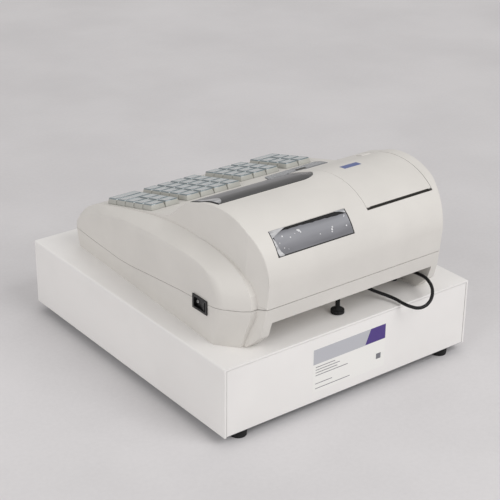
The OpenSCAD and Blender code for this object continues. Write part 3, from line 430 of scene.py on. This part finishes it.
def film_finish(name, dark, light, size=20, tone=None):
    """Thin protective film with soft creases. Tone, where given, is a painted sheen that says how light the
    film is from place to place.
    """
    finish = Finish(name, specular_ior_level=0.3, coat_weight=0.2, coat_roughness=0.12)
    waves = finish.noise(size, detail=3, rough=0.45, place=finish.stretched(0.35, 2.2, 2.2))
    share = finish.ramp(waves, 0.3, 0.72)
    if tone:
        share = tone(finish) * 0.84 + share * 0.16
    finish.colour(finish.mixed(share, dark, light))
    finish.roughness(0.3 + waves * 0.16)
    finish.relief(waves + finish.noise(2.5) * 0.1, 0.3, 0.3)
    return finish


def painted_sheen_middle(finish):
    """Painted sheen: the film drawn lighter across the middle of the customer's window, darker towards its
    two long edges.
    """
    y = finish.along(1) * (1 / MM) + MID_Y
    return finish.ramp(y, 207, 216) * (1 - 0.75 * finish.ramp(y, 217, 227))


def painted_sheen_front(finish):
    """Painted sheen: the film drawn lighter at the operator's window's front edge, nearly black at its rear
    edge.
    """
    y = finish.along(1) * (1 / MM) + MID_Y
    return 1 - finish.ramp(y, 74, 126)


def clear_finish():
    """Clear grey plastic of the tear bar."""
    finish = Finish("tear_bar_plastic", transmission_weight=0.55, coat_weight=0.3)
    haze = finish.noise(7, detail=4)
    finish.colour(finish.mixed(haze, tint(168, 170, 174), tint(196, 198, 201)))
    finish.roughness(0.14 + haze * 0.14)
    finish.relief(finish.noise(1.2), 0.01, 0.3)
    return finish


board_green = board_finish()
paper_white = paper_finish("paper_white", tint(236, 235, 230))
label_white = paper_finish("label_white", tint(240, 239, 236))
label_grey = print_finish("label_grey", tint(186, 187, 193))
label_violet = print_finish("label_violet", tint(70, 46, 128))
label_ink = print_finish("label_ink", tint(116, 116, 122))
tag_blue = print_finish("tag_blue", tint(74, 92, 150))
mark_white = print_finish("mark_white", tint(226, 226, 224))
tear_clear = clear_finish()
# The two window films are drawn light and dark from place to place by a painted sheen.
rear_film = film_finish("rear_film", tint(88, 88, 93), tint(150, 151, 156), tone=painted_sheen_middle)
front_film = film_finish("front_film", tint(22, 22, 23), tint(138, 138, 141), size=26, tone=painted_sheen_front)
lifted_film = film_finish("lifted_film", tint(150, 151, 154), tint(206, 206, 207), size=9)
bubble_white = film_finish("bubble_white", tint(206, 207, 210), tint(236, 236, 236), size=3)


def coat(piece, *finishes):
    """Gives a piece its finishes, one for each material slot."""
    piece.data.materials.clear()
    for finish in finishes:
        piece.data.materials.append(finish.material)


def dress(piece, body, slot, *nodes):
    """Lets a piece ride on a body and stand for nodes; slot is not used."""
    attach(piece, body)
    if nodes:
        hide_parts(*nodes)


# ---------- Drawer's cable ----------

CABLE_WIDTH = 4.5
cable_route = [
    (-52, 165, 20), (-52, 168, 20), (-52.5, 175, 19.5), (-56, 183, 16.5), (-62, 190, 12.5), (-68, 198, 9.5),
    (-74, 209, 7.5), (-78, 222, 6), (-79, 236, 5), (-81, 248, 5), (-85, 256.6, 5.5), (-92, 260.2, 7),
    (-100, 260.2, 10), (-108, 257, 14), (-115, 251, 18), (-120, 244, 21), (-124, 235, 23), (-127, 225, 24),
    (-128, 213, 24), (-127, 200, 23.5), (-125, 187, 22), (-123.5, 176.5, 18.5), (-123, 170, 12.5),
    (-123, 167, 6), (-123, 167, -2), (-123, 167, -7),
]


def run_cable(plug):
    """A thin black cable from its plug in the register's socket to the grommet in the drawer's top."""
    points = [above(*p) for p in cable_route]
    curve = bpy.data.curves.new("drawer_cable_curve", "CURVE")
    curve.dimensions = "3D"
    curve.resolution_u = 6
    curve.bevel_depth = CABLE_WIDTH / 2 * MM
    curve.bevel_resolution = 4
    curve.use_fill_caps = True
    line = curve.splines.new("BEZIER")
    line.bezier_points.add(len(points) - 1)
    for knot, point in zip(line.bezier_points, points):
        knot.co = point
        knot.handle_left_type = "AUTO"
        knot.handle_right_type = "AUTO"
    cable = bpy.data.objects.new("cable_to_drawer", curve)
    bpy.context.scene.collection.objects.link(cable)
    coat(cable, cable_black)
    dress(cable, "case", "cable_black", "drawer_cable")


# ---------- Pieces that stand for solids with their edges rounded ----------


def rounded(node, body, slot, finish, width=0.4, segments=2, angle=30, shade=32):
    """A solid's copy with rounded edges."""
    piece = merged_copy(node, node + "_rounded")
    if width:
        round_edges(piece, width, segments, angle)
    smooth(piece, shade)
    even_normals(piece)
    coat(piece, finish)
    dress(piece, body, slot, node)
    return piece


def facing(mesh):
    """The normals of the two faces at each edge, by the edge's number."""
    sides = [[] for _ in mesh.edges]
    where = {tuple(sorted(edge.vertices)): edge.index for edge in mesh.edges}
    for face in mesh.polygons:
        for key in face.edge_keys:
            sides[where[tuple(sorted(key))]].append(face)
    return sides


# The parting line between the housings: y and height above the drawer.
SEAM = [(-195, 27), (-140, 25.7), (-60, 25.7), (-30, 28), (35, 37), (100, 46), (160, 52), (182, 55),
        (207, 56.5), (240, 63.5)]
SEAM_GAP = 0.7
HUMP_BEVEL = 1.8
CREASE_Y = 200
# Where the edges of the hump's sides run, in metres: their distance from the middle, and how far forward.
HUMP_EDGE_X = (0.139, 0.1565)
HUMP_EDGE_Y = 0.047


def seam_z(y):
    for (y0, z0), (y1, z1) in zip(SEAM, SEAM[1:]):
        if y <= y1:
            return z0 + (z1 - z0) * (y - y0) / (y1 - y0)
    return SEAM[-1][1]


def on_hump(middle, one, two):
    """The edge between the hump's top or rear and its side."""
    steep, flat = sorted((abs(one.x), abs(two.x)), reverse=True)
    low, high = HUMP_EDGE_X
    return low < abs(middle.x) < high and steep > 0.9 and flat < 0.3 and middle.y > HUMP_EDGE_Y


def weigh_edges(piece, test):
    """Marks each outward edge that passes the test for the bevel."""
    mesh = piece.data
    weights = mesh.attributes.new("bevel_weight_edge", "FLOAT", "EDGE")
    for edge, pair in zip(mesh.edges, facing(mesh)):
        if len(pair) != 2:
            continue
        one, two = pair
        middle = (mesh.vertices[edge.vertices[0]].co + mesh.vertices[edge.vertices[1]].co) / 2
        if (two.center - one.center).dot(one.normal) < 0 and test(middle, one.normal, two.normal):
            weights.data[edge.index].value = 1


def part_seam(piece, way):
    """Draws a housing's edge back from the parting line, so that the line shows as a thin gap."""
    edit(piece)
    bpy.ops.mesh.select_mode(type="VERT")
    bpy.ops.mesh.select_all(action="DESELECT")
    leave()
    for corner in piece.data.vertices:
        height = corner.co.z / MM - TOP - seam_z(corner.co.y / MM + MID_Y)
        corner.select = abs(height) < 0.03
    bpy.ops.object.mode_set(mode="EDIT")
    bpy.ops.transform.translate(value=(0, 0, way * SEAM_GAP / 2 * MM))
    leave()


def mark_crease(piece):
    """Keeps the upright crease in each of the hump's sides crisp."""
    mesh = piece.data
    for edge, pair in zip(mesh.edges, facing(mesh)):
        ends = [mesh.vertices[i].co for i in edge.vertices]
        upright = abs(ends[0].z - ends[1].z) > 0.9 * (ends[0] - ends[1]).length
        level = len(pair) == 2 and all(abs(face.normal.z) < 0.05 for face in pair)
        if upright and level and abs(ends[0].x) > 0.14 and abs(ends[0].y / MM + MID_Y - CREASE_Y) < 2:
            edge.use_edge_sharp = True


def register_housing(node, finish, way):
    piece = merged_copy(node, node + "_rounded", flat=0.03)
    part_seam(piece, way)
    weigh_edges(piece, on_hump)
    modify(piece, "BEVEL", width=HUMP_BEVEL * MM, segments=3, limit_method="WEIGHT", use_clamp_overlap=False)
    smooth(piece, 20)
    mark_crease(piece)
    even_normals(piece)
    coat(piece, finish)
    dress(piece, "case", "housing_plastic", node)
    return piece


HINGE_Y = 211.56
HINGE_Z = TOP + 144.2
HINGE_BARREL = 2.75

register_housing("upper_housing", housing, 1)
register_housing("lower_housing", housing, -1)
cover = rounded("printer_cover", "cover", "housing_plastic", housing, width=0.5, shade=30)
cover.data.materials.append(hinge_shade.material)
for face in cover.data.polygons:
    if math.hypot(face.center.y / MM + MID_Y - HINGE_Y, face.center.z / MM - HINGE_Z) < HINGE_BARREL:
        face.material_index = 1
rounded("drawer_case", "case", "case_steel", case_paint, width=0.3, angle=50)
rounded("drawer_rear_panel", "case", "case_steel", case_paint, width=0.4, angle=50)
rounded("drawer_front", "drawer", "case_steel", case_paint, width=0.5, angle=50)
rounded("drawer_feet", "case", "foot_rubber", foot_rubber, width=0.6, angle=40)
rounded("drawer_tray", "drawer", "tray_steel", tray_paint, width=0.3, angle=50)
rounded("till_insert", "drawer", "insert_plastic", insert_plastic, width=0.5, angle=50)
rounded("bill_clips", "clips", "spring_steel", spring_steel, width=0.3, angle=40)
rounded("lock_barrel", "lock", "lock_chrome", lock_chrome, width=0.3, angle=40)
rounded("levelling_foot", "levelling", "foot_rubber", foot_rubber, width=0.5, angle=40)
run_cable(rounded("cable_plug", "case", "cable_black", cable_black, width=0.5, angle=40))
rounded("cable_grommet", "case", "cable_black", cable_black, width=0.4, angle=40)
rounded("switch_frame", "case", "switch_black", switch_black, width=0.4, angle=40)
rounded("power_rocker", "rocker", "switch_black", switch_black, width=0.4, angle=25)
rounded("tear_bar", "case", "clear_plastic", tear_clear, width=0.3, angle=40)
rounded("operator_window", "case", "smoked_window", smoked, width=0.25, angle=45, shade=30)
rounded("customer_window", "case", "smoked_window", smoked, width=0.25, angle=45, shade=30)
rounded("paper_roll", "roll", "paper_white", paper_white, width=0.3, angle=40)
rounded("platen_roller", "platen", "platen_rubber", platen_rubber, width=0.3, angle=40)

NODE_FINISHES = {
    "drawer_base": plain_steel, "slide_rails": plain_steel, "tray_runners": plain_steel,
    "solenoid_latch": plain_steel, "latch_lever": latch_brass, "kick_spring": spring_steel,
    "keyboard_plate": inner_plastic, "printer_frame": inner_plastic, "main_board": board_green,
    "power_supply": supply_iron, "operator_display": display_dark, "customer_display": display_dark,
}
for name, finish in NODE_FINISHES.items():
    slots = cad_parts[name].material_slots
    for slot in slots:
        slot.material = finish.material


# ---------- Keys ----------

PITCH = 22.4
KEY_GAP = 1.2
KEY_DEPTH = PITCH - KEY_GAP
SKIRT = -1.0
SHOULDER = 2.0
RIM_FOOT = 6.6
KEY_RISE = 8.2
KEY_TAPER = 1.5
# The rim's upper edge: how far below the top it starts, and how much narrower the top is.
RIM_EDGE = 0.5
RIM_INSET = 1.2
DECK = Matrix.Translation(above(0, -111.4, 84.7)) @ Matrix.Rotation(math.radians(14), 4, "X")
RIGHT_EDGE = {"function": 152, "department": 95.5, "numeric": -10, "mode": -90}


def raise_top(piece, rise, shrink_x, shrink_y, centre):
    """In edit mode, extrudes the selected top by rise and draws its sides in."""
    bpy.ops.mesh.extrude_region_move(TRANSFORM_OT_translate={"value": (0, 0, rise * MM)})
    bpy.ops.transform.resize(value=(shrink_x, shrink_y, 1), center_override=centre)


def model_key(columns):
    """A key with its lower right corner at the origin: a body, a clear rim and a dished top."""
    width = columns * PITCH - KEY_GAP
    x1 = -KEY_GAP / 2
    y0 = KEY_GAP / 2
    piece = block(f"key_{columns}_wide", Vector((x1 - width, y0, SKIRT)) * MM,
                  Vector((x1, y0 + KEY_DEPTH, SHOULDER)) * MM)
    centre = Vector((x1 - width / 2, y0 + KEY_DEPTH / 2, 0)) * MM
    edit(piece)
    choose(piece, lambda c, n: n.z > 0.9)
    size_x, size_y = width, KEY_DEPTH
    slope = KEY_TAPER / (KEY_RISE - SHOULDER)
    level = SHOULDER
    for target in (RIM_FOOT, KEY_RISE - RIM_EDGE, KEY_RISE):
        inset = 2 * slope * (target - level) if target < KEY_RISE else RIM_INSET
        raise_top(piece, target - level, (size_x - inset) / size_x, (size_y - inset) / size_y, centre)
        size_x -= inset
        size_y -= inset
        level = target
    bpy.ops.mesh.inset(thickness=0.9 * MM, depth=-0.25 * MM)
    leave()
    round_edges(piece, 0.35, 2, 25)
    coat(piece, key_body, key_rim_tint_and_shade, key_top_tint_and_reflection)
    # Faces above the rim's foot take the rim's finish with its painted shade, and those inside the top take
    # the top's finish with its painted reflection.
    low = (RIM_FOOT - 0.1) * MM
    for face in piece.data.polygons:
        if face.center.z > low:
            inside_x = abs(face.center.x - centre.x) < (size_x / 2 - 0.7) * MM
            inside_y = abs(face.center.y - centre.y) < (size_y / 2 - 0.7) * MM
            face.material_index = 2 if inside_x and inside_y else 1
    smooth(piece, 40)
    return piece


key_patterns = {1: model_key(1), 2: model_key(2)}


def set_keys(node, body, group, places, columns=1):
    """Copies of a key at the places of a group, as one piece that stands for a node."""
    copies = []
    for column, row in places:
        key = copy_of(key_patterns[columns], node + "_copy")
        key.matrix_world = DECK @ Matrix.Translation(
            Vector((RIGHT_EDGE[group] - column * PITCH, row * PITCH, 0)) * MM)
        settle(key)
        copies.append(key)
    piece = join(node + "_cap", copies)
    dress(piece, body, "key_plastic", node)


for n in range(12):
    set_keys(f"key_numeric_{n}", f"numeric_{n}_key", "numeric", [(n % 3, n // 3)])
for n in range(2):
    set_keys(f"key_total_{n}", f"total_{n}_key", "function", [(0, n)], columns=2)
for n in range(3):
    set_keys(f"key_function_row_{n}", f"function_row_{n}_key", "function", [(c, n + 2) for c in range(2)])
for n in range(5):
    set_keys(f"key_department_row_{n}", f"department_row_{n}_key", "department", [(c, n) for c in range(4)])
set_keys("key_feed_0", "feed_0_key", "mode", [(0, 0)], columns=2)
for n in range(3):
    set_keys(f"key_mode_row_{n}", f"mode_row_{n}_key", "mode", [(c, n + 1) for c in range(2)])
for pattern in key_patterns.values():
    bpy.data.objects.remove(pattern)


# ---------- Films on the windows ----------

HUMP_MIDDLE = 148
HUMP_RUN = 87
HUMP_BASE = 95
HUMP_RISE = 75
HUMP_FULLNESS = 2.1
HUMP_FOOT = (46.37, 124.04)
CREST = (80.5, 153.3)
ARC_START = (103.04, 160.39)
# The windows of the customer and the operator: outer end, length across, front edge and depth.
REAR_WINDOW = (125, 120, 206.8, 21.6)
FRONT_WINDOW = (149, 168, 68, 72)


def hump_z(y):
    """Height of the hump's surface above the drawer: a slope, a short flat and a quarter round."""
    if y > ARC_START[0]:
        share = abs((y - HUMP_MIDDLE) / HUMP_RUN) ** HUMP_FULLNESS
        return HUMP_BASE + HUMP_RISE * (1 - share) ** (1 / HUMP_FULLNESS)
    (y0, z0), (y1, z1) = (CREST, ARC_START) if y > CREST[0] else (HUMP_FOOT, CREST)
    return z0 + (z1 - z0) * (y - y0) / (y1 - y0)


def on_hump_face(x, y, lift):
    """A point lifted off the hump's surface, square to it."""
    fall = math.atan(hump_z(y - 0.5) - hump_z(y + 0.5))
    return above(x, y + lift * math.sin(fall), hump_z(y) + lift * math.cos(fall))


def on_rear_window(a, b, lift=0.0):
    """A point of the customer's window: a from its outer end, b down its slope, both from 0 to 1."""
    x0, length, y0, depth = REAR_WINDOW
    return on_hump_face(x0 - length * a, y0 + depth * b, lift)


def on_front_window(a, b, lift=0.0):
    """A point of the operator's window: a from its outer end, b from its front edge, both from 0 to 1."""
    x0, length, y0, depth = FRONT_WINDOW
    return on_hump_face(x0 - length * a, y0 + depth * b, lift)


def leaf(name, columns, finish, point, steps=8, thickness=0.15, lift=-0.2):
    """A thin film over part of a window. Each column holds its place along the window and its two ends."""
    verts = [point(a, b0 + (b1 - b0) * k / steps, lift) for a, b0, b1 in columns for k in range(steps + 1)]
    row = steps + 1
    faces = [(i, i + 1, i + row + 1, i + row)
             for c in range(len(columns) - 1) for i in range(c * row, c * row + steps)]
    mesh = bpy.data.meshes.new(name)
    mesh.from_pydata(verts, [], faces)
    piece = bpy.data.objects.new(name, mesh)
    bpy.context.scene.collection.objects.link(piece)
    if sum(face.normal.z for face in mesh.polygons) < 0:
        edit(piece)
        bpy.ops.mesh.select_all(action="SELECT")
        bpy.ops.mesh.flip_normals()
        leave()
    modify(piece, "SOLIDIFY", thickness=thickness * MM, offset=1)
    smooth(piece, 40)
    coat(piece, finish)
    dress(piece, "case", "smoked_window")
    return piece


def spread(low, high, count):
    return [low + (high - low) * i / count for i in range(count + 1)]


def ragged(a):
    return 0.012 * math.sin(61 * a) + 0.008 * math.cos(137 * a)


leaf("rear_window_film", [(a, 0.12 + 0.12 * a + ragged(a), 0.972) for a in spread(0.03, 0.985, 24)],
     rear_film, on_rear_window)
leaf("rear_film_edge", [(0.008, 0.36, 0.86), (0.018, 0.38, 0.97), (0.028, 0.5, 0.98), (0.036, 0.72, 0.985),
                        (0.05, 0.86, 0.985), (0.08, 0.955, 0.985)], lifted_film, on_rear_window, lift=0.02)
leaf("rear_film_fold_outer",
     [(0.008, 0.015, 0.36), (0.04, 0.015, 0.3), (0.11, 0.015, 0.18), (0.2, 0.015, 0.04)],
     lifted_film, on_rear_window, lift=0.02)
leaf("rear_film_fold_inner",
     [(0.86, 0.02, 0.04), (0.92, 0.02, 0.1), (0.955, 0.02, 0.17), (0.985, 0.02, 0.22)],
     lifted_film, on_rear_window, lift=0.02)
leaf("front_window_film", [(a, 0.02, 0.985) for a in spread(0.016, 0.86, 30)]
     + [(0.88, 0.08, 0.93), (0.895, 0.18, 0.82), (0.905, 0.3, 0.62)], front_film, on_front_window, steps=16)
# A dark strip along the operator's window's near end: painted shade where the gap beside the window lies in
# shadow.
leaf("front_window_gap_shade", [(-0.0015, 0.02, 1.0), (0.013, 0.02, 1.0)], foot_rubber, on_front_window, steps=16,
     lift=-0.1)
leaf("front_film_fold", [(0.018, 0.3, 0.965), (0.03, 0.34, 0.96), (0.06, 0.42, 0.9), (0.085, 0.55, 0.8),
                         (0.1, 0.64, 0.72)], lifted_film, on_front_window, lift=0.05)

# Air bubbles under the film: place along and down the window, and radius.
bubbles = [
    (0.346, 0.356, 1.7), (0.33, 0.32, 1.1), (0.358, 0.43, 1.1), (0.736, 0.69, 1.4), (0.75, 0.61, 1.2),
    (0.727, 0.76, 0.9), (0.129, 0.382, 1.1), (0.218, 0.509, 1.0), (0.926, 0.711, 1.0), (0.949, 0.315, 0.8),
    (0.94, 0.36, 0.6), (0.577, 0.718, 0.7), (0.285, 0.42, 0.6), (0.103, 0.797, 0.6), (0.07, 0.6, 0.6),
    (0.15, 0.86, 0.5),
]
BUBBLE_FLATNESS = 0.3


def bubble_piece():
    dots = []
    for a, b, radius in bubbles:
        bpy.ops.object.select_all(action="DESELECT")
        bpy.ops.mesh.primitive_uv_sphere_add(segments=14, ring_count=8, radius=radius * MM)
        dot = bpy.context.active_object
        dot.scale = (1, 1, BUBBLE_FLATNESS)
        dot.location = on_rear_window(a, b, 0.0)
        y = REAR_WINDOW[2] + REAR_WINDOW[3] * b
        dot.rotation_euler = (-math.atan(hump_z(y - 0.5) - hump_z(y + 0.5)), 0, 0)
        settle(dot)
        edit(dot)
        bpy.ops.mesh.select_all(action="SELECT")
        bpy.ops.transform.vertex_random(offset=0.14 * radius * MM, seed=int(a * 100))
        leave()
        dots.append(dot)
    piece = join("rear_film_bubbles", dots)
    smooth(piece, 60)
    coat(piece, bubble_white)
    dress(piece, "case", "smoked_window")


bubble_piece()


# ---------- Label, tag and switch mark ----------

LABEL_T = 0.12


def on_panel(name, x0, x1, down0, down1, finish, layer=0, slant=0.0):
    """A thin plain field on the drawer's rear panel, its lower edge moved sideways by slant."""
    y0 = PANEL_Y + layer * LABEL_T
    piece = block(name, above(x0, y0, -down1), above(x1, y0 + LABEL_T, -down0))
    if slant:
        edit(piece)
        bpy.ops.mesh.select_all(action="DESELECT")
        bpy.ops.mesh.select_mode(type="VERT")
        leave()
        middle = TOP * MM - (down0 + down1) / 2 * MM
        for corner in piece.data.vertices:
            corner.select = corner.co.z < middle and corner.co.x > (x0 + x1) / 2 * MM
        bpy.ops.object.mode_set(mode="EDIT")
        bpy.ops.transform.translate(value=(slant * MM, 0, 0))
        leave()
    coat(piece, finish)
    dress(piece, "case", "paper_white")
    return piece


on_panel("rear_label_sheet", -56, 66.5, 19, 82, label_white)
on_panel("rear_label_band", -55.5, 66, 19.5, 41, label_grey, 1)
on_panel("rear_label_field", -55.5, -30, 19.5, 40.5, label_violet, 2, slant=9)
on_panel("rear_label_square", -49, -41, 60, 68, label_ink, 1)
for index, (down, right_end) in enumerate([(45, 30), (49, 22), (53, 26), (57, 8), (69, 34), (76, 4)]):
    on_panel(f"rear_label_rule_{index}", right_end, 62, down, down + 0.9, label_ink, 1)


def cover_tag():
    """A small blank tag on the printer's cover."""
    x0, x1, y0, y1 = -79.5, -51, 131, 142
    piece = leaf("cover_tag", [(a, 0, 1) for a in spread(0, 1, 6)], tag_blue, lambda a, b, lift: on_hump_face(
        x1 + (x0 - x1) * a, y0 + (y1 - y0) * b, lift), thickness=0.08, lift=-0.06)
    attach(piece, "cover")


cover_tag()


def switch_mark():
    """The ring that marks the rocker's off side, on the half that is pressed in."""
    bpy.ops.object.select_all(action="DESELECT")
    bpy.ops.mesh.primitive_torus_add(
        major_segments=32, minor_segments=8, major_radius=1.7 * MM, minor_radius=0.26 * MM,
        rotation=(0, math.radians(90), math.radians(-3.5)), location=above(179.25, 138.6, 47))
    ring = bpy.context.active_object
    ring.name = "switch_off_mark"
    settle(ring)
    smooth(ring, 60)
    coat(ring, mark_white)
    dress(ring, "rocker", "switch_black")


switch_mark()

# A thin dark plate on the tear bar: painted shade where the paper slot lies in shadow.
slot = block("tear_bar_slot_shade", above(-44, 70, 150.82), above(-27, 76, 150.97))
coat(slot, hinge_shade)
dress(slot, "case", "clear_plastic")

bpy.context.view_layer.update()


# ---------- Floor and light ----------


def lay_floor():
    bpy.ops.object.select_all(action="DESELECT")
    bpy.ops.mesh.primitive_plane_add(size=14, location=(-2, -2.5, 0))
    floor = bpy.context.active_object
    floor.name = "studio_floor"
    settle(floor)
    finish = Finish("studio_floor", specular_ior_level=0.1)
    mottle = finish.noise(260, detail=5, rough=0.55)
    weave = finish.noise(6, detail=3)
    finish.colour(finish.mixed(finish.ramp(mottle * 0.75 + weave * 0.25, 0.3, 0.7),
                               tint(211, 209, 210), tint(219, 217, 218)))
    finish.roughness(0.9 + (weave - 0.5) * 0.1)
    finish.relief(weave, 0.2, 0.2)
    coat(floor, finish)


def hang_lamp(name, place, aim, size, watts):
    data = bpy.data.lights.new(name, "AREA")
    data.shape = "SQUARE"
    data.size = size
    data.energy = watts
    lamp = bpy.data.objects.new(name, data)
    lamp.location = place
    lamp.rotation_euler = (Vector(aim) - Vector(place)).to_track_quat("-Z", "Y").to_euler()
    bpy.context.scene.collection.objects.link(lamp)


def set_light():
    scene = bpy.context.scene
    world = bpy.data.worlds.new("studio")
    scene.world = world
    world.use_nodes = True
    sky = world.node_tree.nodes["Background"]
    sky.inputs["Color"].default_value = (1, 0.98, 0.97, 1)
    sky.inputs["Strength"].default_value = 0.51
    hang_lamp("key_light", (-0.5, 2.2, 2.3), (0, 0, 0.1), 1.6, 34)
    hang_lamp("fill_light", (2.4, 0.6, 1.4), (0, 0, 0.1), 1.6, 20)
    hang_lamp("rear_light", (-1.2, 2.6, 0.9), (0, 0, 0.15), 1.6, 8)
    hang_lamp("backdrop_light", (-1.6, -2.2, 2.4), (-1.8, -2.6, 0), 2.4, 17)
    scene.view_settings.view_transform = "Standard"


lay_floor()
set_light()
